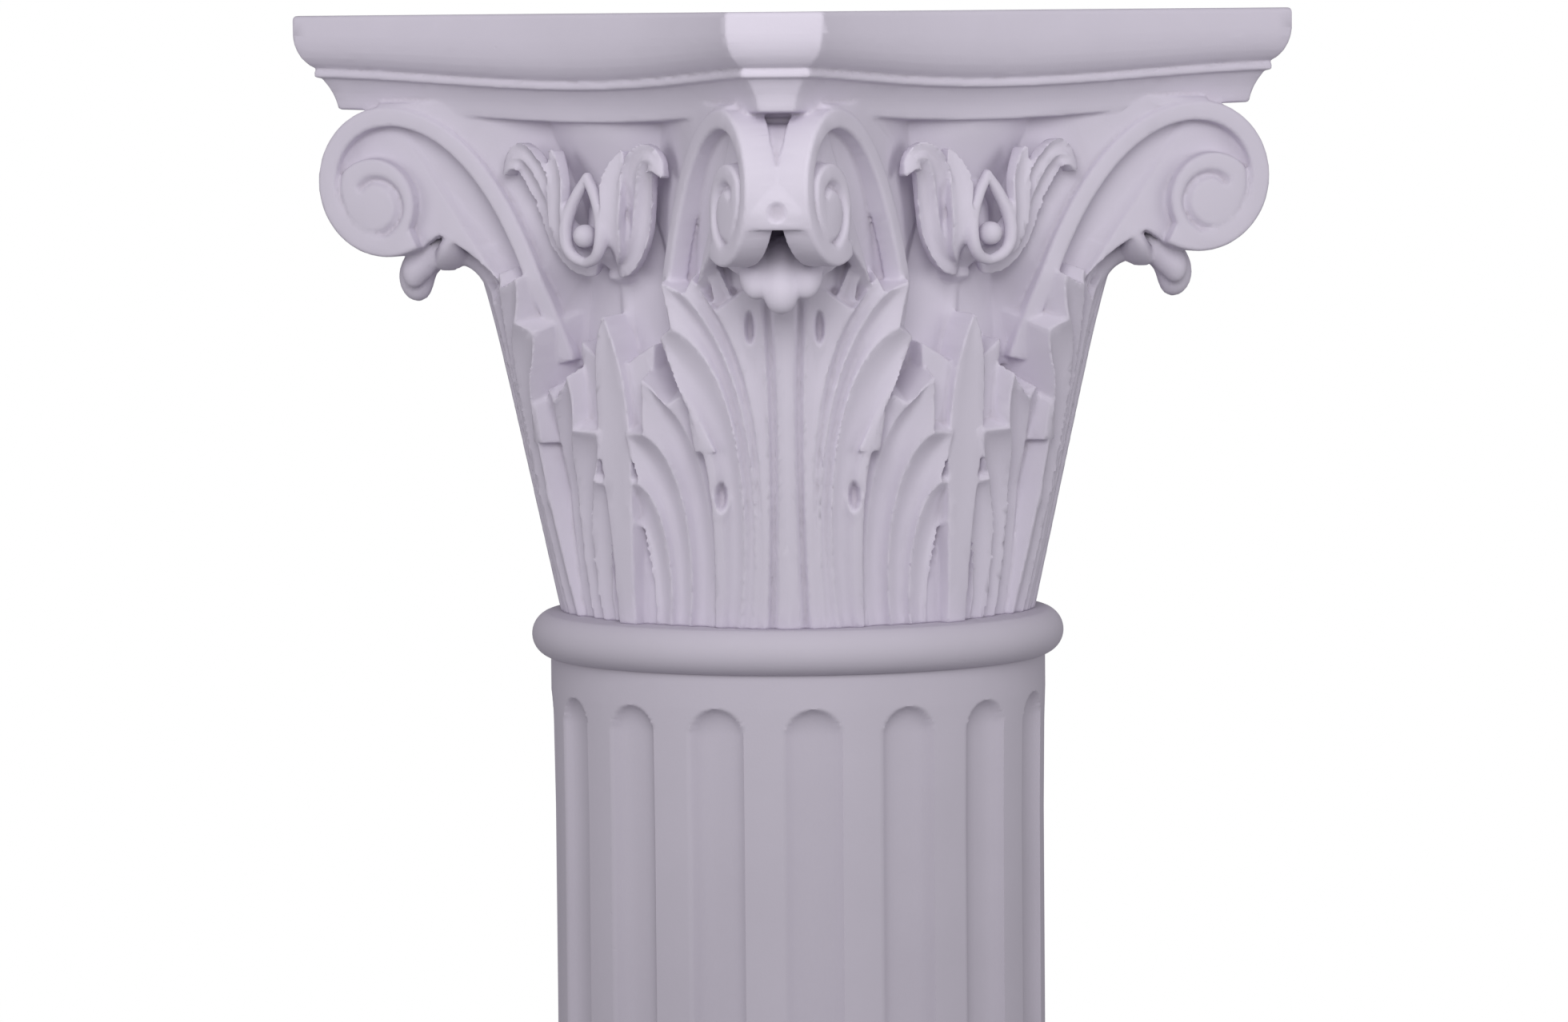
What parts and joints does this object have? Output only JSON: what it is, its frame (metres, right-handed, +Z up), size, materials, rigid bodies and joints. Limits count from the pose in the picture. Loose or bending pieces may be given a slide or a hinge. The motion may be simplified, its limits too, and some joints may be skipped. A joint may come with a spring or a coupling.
{
  "type": "corinthian column",
  "caption": "Short cast plaster column with a fluted shaft, a leafy capital with corner volutes under a hollow-sided abacus, and a square moulded base.",
  "frame": {"origin": "centre of the plinth's underside", "axes": "+Z up along the shaft; the plinth's and abacus's sides lie along X and Y, and the corner leaves are on the diagonals"},
  "size_m": [0.3858, 0.3858, 1.2],
  "materials": {
    "capital_plaster": "bare white cast plaster, matte, with soft edges and a little dust in the hollows",
    "shaft_plaster": "bare white cast plaster, matte, with a few pits",
    "base_plaster": "bare white cast plaster, matte, a little scuffed at the plinth"
  },
  "bodies": {
    "root": {"capital": "capital_plaster", "shaft": "shaft_plaster", "base": "base_plaster"}
  },
  "joints": []
}
